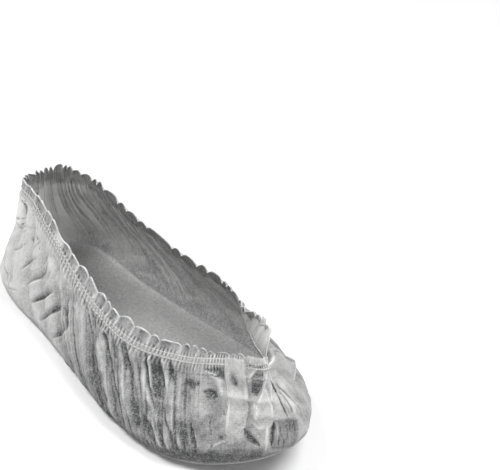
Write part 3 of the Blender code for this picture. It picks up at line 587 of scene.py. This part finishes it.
# By the toe the cloth is folded out over the hem in one flat pleat, from the frill's top down the front.
# Past the end of the opening it is drawn out in a puff, which lies over the hem on the far side.
LAID_ACROSS, LAID_DOWN = 28, 80
PLEAT_HEIGHTS = (0.34, 0.44, 0.55, 0.64, 0.73, 0.85, 0.97, 1.12, 1.190)
PLEAT_NEAR = (0.4335, 0.4350, 0.4363, 0.4380, 0.4390, 0.4378, 0.4362, 0.4330, 0.4310)
PLEAT_FAR = (0.4480, 0.4520, 0.4555, 0.4585, 0.4605, 0.4617, 0.4625, 0.4625, 0.4615)
PUFF_LOW = ((0.4985, 1.10), (0.5240, 0.99), (0.5530, 0.76), (0.5800, 0.50))
PUFF_HIGH = ((0.4985, 1.16), (0.5530, 1.12), (0.5880, 0.92), (0.6060, 0.60))


def laid(share, height, lift):
    """Points that lie a lift outside the bag's wall and its hem, and the shade of the wall there."""
    place, tone = wall(share, np.minimum(height, 1.0))
    _, rim, outward, up, out, _, _ = loop_frame(share)
    over_hem = rim + up * ((height - 1) * REACH - HEM_BELOW)[..., None]
    mixed = np.clip((height - 0.97) / 0.06, 0, 1)[..., None]
    h = np.clip(height, 0, 1)[..., None]
    return place + (over_hem - place) * mixed + unit(outward * (1 - h) + out * h) * lift[..., None], tone * (height < 1)


def near_to(value, middle, reach):
    return np.clip(1 - np.abs(value - middle) / reach, 0, 1)


part = (1 - np.cos(np.linspace(0, math.pi, LAID_ACROSS))) / 2
level = np.repeat(np.linspace(PLEAT_HEIGHTS[0], PLEAT_HEIGHTS[-1], LAID_DOWN)[:, None], LAID_ACROSS, 1)
near, far = (np.interp(level, PLEAT_HEIGHTS, edge) for edge in (PLEAT_NEAR, PLEAT_FAR))
pleat_share = near + (far - near) * part
left, right = part * (far - near) * LOOP, (1 - part) * (far - near) * LOOP
soft = 0.0016 + 0.008 * np.clip((0.80 - level) / 0.25, 0, 1)
lift = np.interp(level, (0.34, 0.60, 0.90, 1.00, 1.08, 1.19), (0.0001, 0.0006, 0.0011, 0.0018, 0.0024, 0.0024))
lift *= (np.clip(left / 0.0014, 0, 1) * np.clip(right / soft, 0, 1)) ** 0.6
lift *= np.clip((1.190 - level) * REACH / 0.0012, 0, 1) ** 0.5
lift += 0.00025 * np.sin(part * 9 + level * 14) * np.clip(np.minimum(left, right) / 0.002, 0, 1) - 0.0002 * near_to(left, 0, 0.0004)
strip, strip_shade = laid(pleat_share, level, lift)
# painted light on the folded-out pleat: painted highlights along its edges, painted shade in a crease and along its top
strip_shade = -0.15 + 0.25 * strip_shade
strip_shade -= 0.65 * near_to(left, 0.0010, 0.0008) * np.clip((level - 0.44) / 0.15, 0, 1)
strip_shade -= 0.35 * near_to(right, 0.0012, 0.0008) * np.clip((level - 0.74) / 0.10, 0, 1)
strip_shade -= 0.12 * near_to(level, 0.80, 0.14)
strip_shade += 0.80 * crease(pleat_share, level, 4.5, ((0.4465, 1.00), (0.4500, 0.92)))
strip_shade += 0.60 * near_to((1.190 - level) * REACH, 0, 0.0014) * (0.5 + 0.5 * np.sin(part * 19))

along = np.repeat(np.linspace(0, 1, LAID_DOWN)[:, None], LAID_ACROSS, 1)
quarter = along * 3
low_share, low_height, high_share, high_height = (
    np.interp(quarter, (0, 1, 2, 3), [spot[k] for spot in edge]) for edge in (PUFF_LOW, PUFF_HIGH) for k in (0, 1)
)
puff_share, puff_level = low_share + (high_share - low_share) * part, low_height + (high_height - low_height) * part
swell = np.sin(math.pi * part**1.4) ** 0.7 * np.clip(along / 0.30, 0, 1) ** 0.6 * np.clip((1 - along) / 0.12, 0, 1) ** 0.5
swell *= 1 - 0.10 * np.sin(9 * along + 3 * part) ** 2
puffed, puff_shade = laid(puff_share, puff_level, 0.0092 * swell - 0.0004)
# painted light on the puff: a painted highlight along its rim and at its ends, painted shade beneath the rim and along
# its near edge, a painted shadow along its far edge, and painted ripples
puff_shade = -0.30 + 0.10 * part - 0.70 * near_to(part, 0.76, 0.09) + 0.85 * near_to(part, 0.60, 0.06) * np.clip(along * 3, 0, 1)
puff_shade -= 0.6 * near_to(along, 0.95, 0.05) + 0.5 * np.clip(1 - along / 0.10, 0, 1)
puff_shade += 0.90 * near_to(part, 0.98, 0.16) * np.clip(along * 4, 0, 1)
puff_shade += 0.35 * near_to(part, 0.08, 0.12) + 0.2 * np.sin(14 * along + 6 * part) * part

points = np.concatenate([m.reshape(-1, 3) for m in (side, sole, strip, puffed)]) + CENTRING
start = side.shape[0] * COLUMNS
inner = start + np.arange((half - 1) * ACROSS).reshape(half - 1, ACROSS)
rows = np.concatenate([np.arange(1, half)[:, None], inner, (COLUMNS - np.arange(1, half))[:, None]], 1)
a, b, c, d = rows[:-1, :-1], rows[:-1, 1:], rows[1:, 1:], rows[1:, :-1]
sole_quads = np.stack([k.ravel() for k in (a, b, c, d)], 1)
ends = [(0, rows[0, k + 1], rows[0, k])[::-1] for k in range(ACROSS + 1)]
ends += [(half, rows[-1, k], rows[-1, k + 1]) for k in range(ACROSS + 1)]
row, column = np.meshgrid(np.arange(LAID_DOWN - 1), np.arange(LAID_ACROSS - 1), indexing="ij")
corner = (start + sole.shape[0] * ACROSS + row * LAID_ACROSS + column).ravel()
strip_quads = np.stack([corner, corner + 1, corner + LAID_ACROSS + 1, corner + LAID_ACROSS], 1)
puff_quads = strip_quads[:, ::-1] + LAID_DOWN * LAID_ACROSS
quads = np.concatenate([band_quads(COLUMNS, side.shape[0]), sole_quads, strip_quads, puff_quads])
laid_shade = np.clip(np.concatenate([strip_shade.ravel(), puff_shade.ravel()]), -1, 1)
shade = np.concatenate([side_shade.ravel(), np.zeros(sole.shape[0] * ACROSS), laid_shade])
side_uv = np.stack([np.tile(shares * 0.70, side.shape[0]), np.repeat(np.linspace(0, 0.075, side.shape[0]), COLUMNS)], 1)
laid_uv = [np.stack([s * 0.70, h * REACH], -1).reshape(-1, 2) for s, h in ((pleat_share, level), (puff_share, puff_level))]
uv = np.concatenate([side_uv, sole[..., 1::-1].reshape(-1, 2), *laid_uv])
bag = make_sheet("cover_cloth", points, quads, ends, {"painted_light": shade}, uv)


def linear(code):
    """An sRGB hex colour as linear light."""
    parts = [int(code[k : k + 2], 16) / 255 for k in (1, 3, 5)]
    return (*[p / 12.92 if p <= 0.04045 else ((p + 0.055) / 1.055) ** 2.4 for p in parts], 1.0)


def add(tree, kind, settings=None, inputs=None):
    """Adds a node, sets its settings, then sets or links each input by its name or number."""
    node = tree.nodes.new(kind)
    for key, value in (settings or {}).items():
        setattr(node, key, value)
    for key, value in (inputs or {}).items():
        if isinstance(value, bpy.types.NodeSocket):
            tree.links.new(value, node.inputs[key])
        else:
            node.inputs[key].default_value = value
    return node


def nonwoven(name, pale, dark, painted_shade_colour, doubled_and_highlight_colour):
    """Spun-bonded polypropylene: a felt of fine melted fibres, cloudy, with painted shade in its folds and hollows and
    painted highlights on ridges and rims, paler too where it doubles.
    """
    material = bpy.data.materials.new(name)
    material.use_nodes = True
    tree = material.node_tree
    tree.nodes.clear()
    place = add(tree, "ShaderNodeTexCoord").outputs["Object"]
    cloud = add(tree, "ShaderNodeTexNoise", None, {"Vector": place, "Scale": 75.0, "Detail": 3.0, "Roughness": 0.6})
    fibre = add(tree, "ShaderNodeTexNoise", None, {"Vector": place, "Scale": 430.0, "Detail": 3.0, "Roughness": 0.6})
    grain = add(tree, "ShaderNodeTexNoise", None, {"Vector": place, "Scale": 1000.0, "Detail": 2.0, "Roughness": 0.6})
    bond = add(tree, "ShaderNodeTexVoronoi", None, {"Vector": add(tree, "ShaderNodeUVMap").outputs[0], "Scale": 640.0, "Randomness": 0.35})
    point = add(tree, "ShaderNodeMapRange", None, {"Value": bond.outputs["Distance"], "From Min": 0.18, "From Max": 0.42})
    first = add(tree, "ShaderNodeMath", {"operation": "MULTIPLY_ADD"}, {0: cloud.outputs["Fac"], 1: 0.30, 2: -0.15})
    second = add(tree, "ShaderNodeMath", {"operation": "MULTIPLY_ADD"}, {0: fibre.outputs["Fac"], 1: 0.9, 2: first.outputs[0]})
    fuzz = add(tree, "ShaderNodeMath", {"operation": "MULTIPLY_ADD"}, {0: grain.outputs["Fac"], 1: 1.1, 2: second.outputs[0]})
    third = add(tree, "ShaderNodeMath", {"operation": "MULTIPLY_ADD"}, {0: point.outputs[0], 1: 0.22, 2: fuzz.outputs[0]})
    tone = add(tree, "ShaderNodeMapRange", None, {"Value": third.outputs[0], "From Min": 0.64, "From Max": 1.66})
    base = add(tree, "ShaderNodeMix", {"data_type": "RGBA"}, {0: tone.outputs[0], 6: linear(dark), 7: linear(pale)})
    # painted light attribute: above 0 it paints shade into folds, hollows and the lower sides, flecked by the grain;
    # below 0 it paints highlights
    painted_light = add(tree, "ShaderNodeAttribute", {"attribute_name": "painted_light"})
    speck = add(tree, "ShaderNodeMapRange", None, {"Value": third.outputs[0], "From Min": 0.85, "From Max": 1.45, "To Min": 0.38, "To Max": -0.38})
    extra = add(tree, "ShaderNodeMath", {"operation": "MULTIPLY_ADD"}, {0: painted_light.outputs["Fac"], 1: speck.outputs[0], 2: 0.95})
    flecked_shade = add(tree, "ShaderNodeMath", {"operation": "MULTIPLY", "use_clamp": True}, {0: painted_light.outputs["Fac"], 1: extra.outputs[0]})
    # less painted shade on the inside face of the cloth
    within = add(tree, "ShaderNodeMath", {"operation": "MULTIPLY_ADD"}, {0: add(tree, "ShaderNodeNewGeometry").outputs["Backfacing"], 1: -0.6, 2: 1.0})
    deep = add(tree, "ShaderNodeMath", {"operation": "MULTIPLY", "use_clamp": True}, {0: flecked_shade.outputs[0], 1: within.outputs[0]})
    # painted highlight, mixed toward the paler colour that doubled cloth also has
    high = add(tree, "ShaderNodeMath", {"operation": "MULTIPLY", "use_clamp": True}, {0: painted_light.outputs["Fac"], 1: -0.8})
    shaded_colour = add(tree, "ShaderNodeMix", {"data_type": "RGBA"}, {0: deep.outputs[0], 6: base.outputs[2], 7: linear(painted_shade_colour)})
    colour = add(tree, "ShaderNodeMix", {"data_type": "RGBA"}, {0: high.outputs[0], 6: shaded_colour.outputs[2], 7: linear(doubled_and_highlight_colour)})
    rough = add(tree, "ShaderNodeBump", None, {"Height": third.outputs[0], "Strength": 0.5, "Distance": 0.0004})
    cloth = add(
        tree,
        "ShaderNodeBsdfPrincipled",
        None,
        {"Base Color": colour.outputs[2], "Roughness": 0.6, "Normal": rough.outputs[0]},
    )
    glow = add(tree, "ShaderNodeBsdfTranslucent", None, {"Color": colour.outputs[2], "Normal": rough.outputs[0]})
    both = add(tree, "ShaderNodeMixShader", None, {0: 0.20, 1: cloth.outputs[0], 2: glow.outputs[0]})
    add(tree, "ShaderNodeOutputMaterial", None, {"Surface": both.outputs[0]})
    return material


# pale and dark cloth, then the colour of painted shade and that of painted highlight and doubled cloth
bag.data.materials.append(nonwoven("spunbonded polypropylene, single layer", "#c8c8c7", "#828383", "#3e3f40", "#ececeb"))
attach(bag, "root")
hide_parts("cover_body")

# The seam allowances.
# The sheet's two ends are joined at toe and heel, and each doubled raw edge lies turned to one side within the bag.

SEAM_ROWS, SEAM_GAP = 64, 0.0005
# distance along the wall from the joint and in from the wall, in mm, round the two layers
SEAM_PROFILE = ((0.0, 0.1), (2.2, 0.3), (5.8, 0.4), (8.8, 0.6), (10.0, 0.8), (10.1, 1.1), (8.6, 1.2), (5.0, 0.9), (1.4, 0.7), (0.0, 0.6))
seam_heights = np.linspace(0.05, 0.99, SEAM_ROWS)
for name, share, replaced in (("heel_seam_cloth", 0.0, "heel_seam"), ("toe_seam_cloth", 0.5, "toe_seam")):
    layers = []
    for aside, inward in SEAM_PROFILE:
        frayed = 0.0003 * np.sin(67 * seam_heights) * (aside > 8)
        seam_shares = share + (aside / 1000 + frayed) / LOOP
        place, _ = wall(seam_shares, seam_heights)
        _, _, outward, _, out, _, _ = loop_frame(seam_shares)
        h = seam_heights[:, None]
        layers.append(place - unit(outward * (1 - h) + out * h) * (SEAM_GAP + inward / 1000))
    row, column = np.meshgrid(np.arange(len(layers) - 1), np.arange(SEAM_ROWS - 1), indexing="ij")
    corner = (row * SEAM_ROWS + column).ravel()
    seam_quads = np.stack([corner, corner + SEAM_ROWS, corner + SEAM_ROWS + 1, corner + 1], 1)
    seam_uv = np.stack([np.tile(seam_heights * REACH, len(layers)), np.repeat(np.arange(len(layers)) * 0.0016, SEAM_ROWS)], 1)
    # painted shade and highlight across the two layers, palest at the turn of the raw edge
    seam_tones = np.repeat([0.3, 0.0, -0.1, -0.2, -0.6, -0.7, -0.2, 0.0, 0.1, 0.3], SEAM_ROWS)
    allowance = make_sheet(name, np.concatenate(layers) + CENTRING, seam_quads, [], {"painted_light": seam_tones}, seam_uv)
    # pale and dark cloth, then the colour of painted shade and that of painted highlight and doubled cloth
    allowance.data.materials.append(nonwoven("spunbonded polypropylene, " + replaced.replace("_", " "), "#cdcdcc", "#8e8f8f", "#4c4d4f", "#f4f4f3"))
    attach(allowance, "root")
    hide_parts(replaced)

# The hem.
# The sheet's edge, turned down over the outside of the elastic and sewn through both layers.
# Above the stitches it stands as a scalloped frill, below them it ends in a gathered, free raw edge.

HEM_COLUMNS = 1536
hem_shares = np.arange(HEM_COLUMNS) / HEM_COLUMNS
top = frill_top(hem_shares)
flutter = 0.0005 * np.sin(2 * math.pi * 2.0 * lobe_phase(hem_shares) + 0.8)
inside = lobe_phase(hem_shares) % 1.0
pinch = np.maximum(1 - np.minimum(inside, 1 - inside) / 0.16, 0)
uneven = 0.70 + 0.30 * np.sin(2 * math.pi * 53 * hem_shares + 2 * np.sin(2 * math.pi * 19 * hem_shares))
# Round the toe the frill is turned over to the outside, in a small puff that ends in a knot at the opening's end.
turned = np.interp(hem_shares, (0.459, 0.467, 0.506, 0.520), (0.0, 1.0, 1.0, 0.0))
knot = 0.4985
puff = np.where(hem_shares < knot, (hem_shares - 0.450) / (knot - 0.450), (hem_shares - knot) / (0.562 - knot))
puff = 0.20 + 0.80 * np.abs(np.sin(math.pi * np.clip(puff, 0, 1))) ** 0.6
puff *= 0.30
# painted shade over the turned-over puff, and a painted highlight just past the knot
shadowed = np.interp(hem_shares, (0.460, 0.485, 0.4975, 0.4990, 0.503), (0.15, 0.45, 0.20, -0.5, 0.0))
fall = np.interp(hem_shares, (0.459, 0.480, 0.4985, 0.505, 0.520), (-0.001, -0.003, -0.001, -0.003, -0.002))
ROLL_PARTS = (0.0, 0.12, 0.28, 0.42, 0.56, 0.74, 0.90, 0.98, 1.04)
ROLL_HEIGHTS = (0.0, -0.18, -0.30, -0.22, 0.0, 0.35, 0.72, 0.94, 1.0)
ROLL_OFFS = (0.0011, 0.0020, 0.0044, 0.0066, 0.0074, 0.0072, 0.0062, 0.0046, 0.0030)
# painted shade and highlights round the roll
ROLL_TONES = (0.1, 0.0, -0.25, 0.10, -0.10, -0.20, -0.20, -0.45, 0.1)
profile, tones = [], []
# height, distance out, and the shade painted there
for step, off, tone in (
    (-0.0085, 0.0003, -0.15),
    (-0.0080, 0.0005, -0.1),
    (-0.0072, 0.0006, 0.0),
    (-0.0062, 0.0007, 0.1),
    (-0.0052, 0.0008, 0.1),
    (-0.0042, 0.0010, 0.15),
    (-0.0032, 0.0012, 0.2),
    (-0.0024, 0.0012, 0.3),
    (-0.0017, 0.0010, 0.1),
    (-0.0011, 0.0012, 0.15),
    (-0.0005, 0.0013, 0.1),
    (0.0000, 0.0013, 0.1),
    (0.0005, 0.0013, 0.1),
    (0.0011, 0.0012, 0.15),
    (0.0017, 0.0010, 0.1),
    (0.0024, 0.0012, 0.3),
):
    free = np.clip((-step - 0.0060) / 0.0025, 0, 1)
    place, shade = hem(hem_shares, step + flutter * free, np.full(HEM_COLUMNS, off))
    profile.append(place)
    tones.append(shade + tone)
# part of the way up the frill, distance out, and the shade painted there, with a painted highlight along the doubled
# top rim
for part, off, tone in (
    (0.12, 0.0011, 0.65),
    (0.28, 0.0010, 0.62),
    (0.45, 0.0009, 0.60),
    (0.62, 0.0009, 0.68),
    (0.78, 0.0009, 0.85),
    (0.90, 0.0010, 0.75),
    (0.98, 0.0010, -0.4),
    (1.03, 0.0006, -0.9),
    (1.04, 0.0001, -0.7),
    (1.00, -0.0003, -0.2),
    (0.93, -0.0004, 0.3),
):
    place, shade = hem(hem_shares, 0.0024 + (top - 0.0024) * part, np.full(HEM_COLUMNS, off))
    fallen = np.interp(part, ROLL_PARTS, ROLL_HEIGHTS)
    fallen = 0.0024 + np.where(fallen < 0, -0.017 * fallen * (0.6 + 0.4 * puff), fall * fallen)
    rolled = np.interp(part, ROLL_PARTS, ROLL_OFFS) + off - 0.0010
    _, rim, _, up, out, _, _ = loop_frame(hem_shares)
    over = rim + up * fallen[:, None] + out * (0.0012 + (rolled - 0.0012) * puff)[:, None]
    profile.append(place + (over - place) * turned[:, None])
    open_here = flare(hem_shares, np.full(HEM_COLUMNS, 0.01))
    at_heel = np.interp(hem_shares, (0, 0.04, 0.12, 0.93, 1), (0.25, 0.35, 1.0, 1.0, 0.25))
    # painted shade in the lobes, less at the heel, painted highlights on the pinches, the open frill paler; the
    # turned-over part takes the roll's painted shade and diagonal painted creases
    frilled = shade + (tone * at_heel * (1 - pinch) * uneven - 0.45 * pinch * (0.6 + 0.4 * uneven)) * (1 - open_here) + (0.35 * part - 0.35) * open_here
    tones.append(frilled + (np.interp(part, ROLL_PARTS, ROLL_TONES) + shadowed - frilled + 0.30 * np.sin(2 * math.pi * (210 * hem_shares + 1.3 * part))) * turned)
profile, tones = np.array(profile), np.clip(np.array(tones), -1, 1)
hem_rows = len(profile)
line = np.repeat(np.linspace(0.0, 1.0, hem_rows), HEM_COLUMNS)
uv = np.stack([np.tile(hem_shares * 0.70, hem_rows), line * 0.02], 1)
band = make_sheet(
    "hem_cloth",
    profile.reshape(-1, 3) + CENTRING,
    band_quads(HEM_COLUMNS, hem_rows),
    [],
    {"painted_light": tones.ravel()},
    uv,
)
# pale and dark cloth, then the colour of painted shade and that of painted highlight and doubled cloth
band.data.materials.append(nonwoven("spunbonded polypropylene, doubled hem", "#cdcdcc", "#8e8f8f", "#4c4d4f", "#f4f4f3"))
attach(band, "root")
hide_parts("hem_band")

# The elastic.
# A flat braided band under the hem, stretched as it was sewn in, so that it gathers the cloth.

elastic_columns = 512
elastic_shares = np.arange(elastic_columns) / elastic_columns
ribbon = []
for step, off in ((-0.0023, 0.00045), (-0.0023, 0.00075), (0.0023, 0.00075), (0.0023, 0.00045), (-0.0023, 0.00045)):
    ribbon.append(hem(elastic_shares, np.full(elastic_columns, step), np.full(elastic_columns, off))[0])
ribbon = np.array(ribbon[:4])
quads = []
for row in range(4):
    for column in range(elastic_columns):
        after, above = (column + 1) % elastic_columns, (row + 1) % 4
        quads.append((row * elastic_columns + column, row * elastic_columns + after, above * elastic_columns + after, above * elastic_columns + column))
uv = np.stack([np.tile(elastic_shares * 0.60, 4), np.repeat([0, 0.0003, 0.005, 0.0053], elastic_columns)], 1)
elastic = make_sheet("elastic", ribbon.reshape(-1, 3) + CENTRING, quads, [], {}, uv)
material = bpy.data.materials.new("braided polyester over rubber")
material.use_nodes = True
tree = material.node_tree
tree.nodes.clear()
weave = add(tree, "ShaderNodeTexNoise", None, {"Vector": add(tree, "ShaderNodeUVMap").outputs[0], "Scale": 1400.0})
cover = add(tree, "ShaderNodeMix", {"data_type": "RGBA"}, {0: weave.outputs["Fac"], 6: linear("#cfcfcc"), 7: linear("#eeeeec")})
braid = add(tree, "ShaderNodeBump", None, {"Height": weave.outputs["Fac"], "Strength": 0.5, "Distance": 0.0003})
thread = add(tree, "ShaderNodeBsdfPrincipled", None, {"Base Color": cover.outputs[2], "Roughness": 0.7, "Normal": braid.outputs[0]})
add(tree, "ShaderNodeOutputMaterial", None, {"Surface": thread.outputs[0]})
elastic.data.materials.append(material)
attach(elastic, "root")
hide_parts("elastic_band")

# The stitches.
# Two rows of chain stitch in a white polyester thread hold the elastic, one near each of its edges.
# The links are laid by Geometry Nodes, each a loop of thread, tilted a little out of the cloth.

STITCHES, STITCH_LENGTH, STITCH_WIDTH, THREAD_RADIUS = 232, 0.0020, 0.00062, 0.00015
spots, turns = [], []
for step, offset in ((0.0017, 0.0), (-0.0017, 0.5)):
    stitch_shares = (np.arange(STITCHES) + offset) / STITCHES
    at = [hem(stitch_shares + d, np.full(STITCHES, step), np.full(STITCHES, 0.00135))[0] for d in (-0.0009, 0.0, 0.0009)]
    above_it = hem(stitch_shares, np.full(STITCHES, step + 0.001), np.full(STITCHES, 0.00135))[0]
    ahead = unit(at[2] - at[0])
    away = unit(np.cross(ahead, above_it - at[1]))
    ahead = unit(ahead + 0.10 * away)
    side_way = unit(np.cross(away, ahead))
    away = np.cross(ahead, side_way)
    for place, x, y, z in zip(at[1] + CENTRING, ahead, side_way, away):
        spots.append(place)
        turns.append(Matrix((x, y, z)).transposed().to_euler())
seeds = bpy.data.meshes.new("stitch_places")
seeds.from_pydata(np.array(spots).tolist(), [], [])
turn_layer = seeds.attributes.new("turn", "FLOAT_VECTOR", "POINT")
turn_layer.data.foreach_set("vector", np.array([tuple(t) for t in turns], np.float32).ravel())
stitch_seed = bpy.data.objects.new("stitch_places", seeds)
bpy.context.scene.collection.objects.link(stitch_seed)

thread = bpy.data.materials.new("spun polyester thread, white")
thread.use_nodes = True
tree = thread.node_tree
tree.nodes.clear()
ply = add(tree, "ShaderNodeTexNoise", None, {"Vector": add(tree, "ShaderNodeTexCoord").outputs["Object"], "Scale": 2500.0})
tint = add(tree, "ShaderNodeMix", {"data_type": "RGBA"}, {0: ply.outputs["Fac"], 6: linear("#bfbfbe"), 7: linear("#f2f2f1")})
spun = add(tree, "ShaderNodeBsdfPrincipled", None, {"Base Color": tint.outputs[2], "Roughness": 0.55})
add(tree, "ShaderNodeOutputMaterial", None, {"Surface": spun.outputs[0]})

laying = bpy.data.node_groups.new("chain stitches", "GeometryNodeTree")
laying.interface.new_socket("Geometry", in_out="INPUT", socket_type="NodeSocketGeometry")
sizes = {
    name: laying.interface.new_socket(name, in_out="INPUT", socket_type="NodeSocketFloat").identifier
    for name in ("Stitch length", "Stitch width", "Thread radius")
}
laying.interface.new_socket("Geometry", in_out="OUTPUT", socket_type="NodeSocketGeometry")
given = add(laying, "NodeGroupInput")
half_length = add(laying, "ShaderNodeMath", {"operation": "MULTIPLY"}, {0: given.outputs["Stitch length"], 1: 0.5})
half_width = add(laying, "ShaderNodeMath", {"operation": "MULTIPLY"}, {0: given.outputs["Stitch width"], 1: 0.5})
oval = add(laying, "ShaderNodeCombineXYZ", None, {0: half_length.outputs[0], 1: half_width.outputs[0], 2: 1.0})
ring_curve = add(laying, "GeometryNodeCurvePrimitiveCircle", None, {"Resolution": 12, "Radius": 1.0})
link = add(laying, "GeometryNodeTransform", None, {"Geometry": ring_curve.outputs[0], "Scale": oval.outputs[0]})
strand = add(laying, "GeometryNodeCurvePrimitiveCircle", None, {"Resolution": 5, "Radius": given.outputs["Thread radius"]})
loop = add(laying, "GeometryNodeCurveToMesh", None, {"Curve": link.outputs[0], "Profile Curve": strand.outputs[0]})
turned = add(laying, "GeometryNodeInputNamedAttribute", {"data_type": "FLOAT_VECTOR"}, {"Name": "turn"})
facing = add(laying, "FunctionNodeEulerToRotation", None, {0: turned.outputs[0]})
laid = add(laying, "GeometryNodeInstanceOnPoints", None, {"Points": given.outputs["Geometry"], "Instance": loop.outputs[0], "Rotation": facing.outputs[0]})
real = add(laying, "GeometryNodeRealizeInstances", None, {"Geometry": laid.outputs[0]})
smooth = add(laying, "GeometryNodeSetShadeSmooth", None, {"Geometry": real.outputs[0]})
coated = add(laying, "GeometryNodeSetMaterial", None, {"Geometry": smooth.outputs[0], "Material": thread})
add(laying, "NodeGroupOutput", None, {"Geometry": coated.outputs[0]})
modifier = stitch_seed.modifiers.new("stitches", "NODES")
modifier.node_group = laying
for name, value in (("Stitch length", STITCH_LENGTH), ("Stitch width", STITCH_WIDTH), ("Thread radius", THREAD_RADIUS)):
    modifier[sizes[name]] = value
bpy.context.view_layer.update()
made = bpy.data.meshes.new_from_object(stitch_seed.evaluated_get(bpy.context.evaluated_depsgraph_get()))
made.name = "stitches"
bpy.data.objects.remove(stitch_seed)
stitches = bpy.data.objects.new("stitches", made)
bpy.context.scene.collection.objects.link(stitches)
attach(stitches, "root")

# The stage: floor, light and camera.

floor_mesh = bpy.data.meshes.new("floor")
floor_mesh.from_pydata([(-3, -3, 0), (3, -3, 0), (3, 3, 0), (-3, 3, 0)], [], [(0, 1, 2, 3)])
floor = bpy.data.objects.new("floor", floor_mesh)
bpy.context.scene.collection.objects.link(floor)
material = bpy.data.materials.new("painted board, matt white")
material.use_nodes = True
tree = material.node_tree
tree.nodes.clear()
paint = add(tree, "ShaderNodeBsdfPrincipled", None, {"Base Color": linear("#f4f4f4"), "Roughness": 0.9})
away = add(tree, "ShaderNodeVectorMath", {"operation": "LENGTH"}, {0: add(tree, "ShaderNodeTexCoord").outputs["Object"]})
# Far from the lamps the floor is seen as white as it is near them, and gives no light of its own.
far_off = add(tree, "ShaderNodeMapRange", None, {"Value": away.outputs["Value"], "From Min": 0.40, "From Max": 1.10})
seen = add(tree, "ShaderNodeLightPath").outputs["Is Camera Ray"]
whitened = add(tree, "ShaderNodeMath", {"operation": "MULTIPLY"}, {0: far_off.outputs[0], 1: seen})
white = add(tree, "ShaderNodeEmission", None, {"Color": linear("#ffffff"), "Strength": 1.0})
surface = add(tree, "ShaderNodeMixShader", None, {0: whitened.outputs[0], 1: paint.outputs[0], 2: white.outputs[0]})
add(tree, "ShaderNodeOutputMaterial", None, {"Surface": surface.outputs[0]})
floor_mesh.materials.append(material)

world = bpy.data.worlds.new("studio")
bpy.context.scene.world = world
world.use_nodes = True
tree = world.node_tree
tree.nodes.clear()
dim = add(tree, "ShaderNodeBackground", None, {"Color": linear("#ffffff"), "Strength": 0.30})
bright = add(tree, "ShaderNodeBackground", None, {"Color": linear("#ffffff"), "Strength": 1.0})
seen = add(tree, "ShaderNodeLightPath").outputs["Is Camera Ray"]
sky = add(tree, "ShaderNodeMixShader", None, {0: seen, 1: dim.outputs[0], 2: bright.outputs[0]})
add(tree, "ShaderNodeOutputWorld", None, {"Surface": sky.outputs[0]})

for name, place, size, power in (
    ("key", (-0.60, 0.35, 1.20), 0.40, 15.0),
    ("top", (0.40, -0.45, 1.25), 0.8, 17.0),
):
    lamp = bpy.data.lights.new(name, "AREA")
    lamp.shape, lamp.size, lamp.energy = "SQUARE", size, power
    lamp_object = bpy.data.objects.new(name, lamp)
    lamp_object.location = place
    lamp_object.rotation_euler = (Vector((0, 0, 0.04)) - Vector(place)).to_track_quat("-Z", "Y").to_euler()
    bpy.context.scene.collection.objects.link(lamp_object)

AZIMUTH, ELEVATION, ROLL, DISTANCE = -0.74960, 0.57470, 0.05420, 0.76962
back = Vector((math.sin(AZIMUTH) * math.cos(ELEVATION), -math.cos(AZIMUTH) * math.cos(ELEVATION), math.sin(ELEVATION)))
level = (-back).cross(Vector((0, 0, 1))).normalized()
rise = level.cross(-back)
right = level * math.cos(ROLL) + rise * math.sin(ROLL)
above = rise * math.cos(ROLL) - level * math.sin(ROLL)
eye = Vector((0.00003, 0.00114, 0.040)) + back * DISTANCE + right * 0.07133 + above * 0.05206
camera = bpy.data.objects.new("camera", bpy.data.cameras.new("camera"))
camera.data.lens = 1100 * 36 / 500
camera.matrix_world = Matrix(
    [(right[k], above[k], back[k], eye[k]) for k in range(3)] + [(0, 0, 0, 1)]
)
bpy.context.scene.collection.objects.link(camera)
bpy.context.scene.camera = camera
bpy.context.scene.view_settings.view_transform = "Standard"
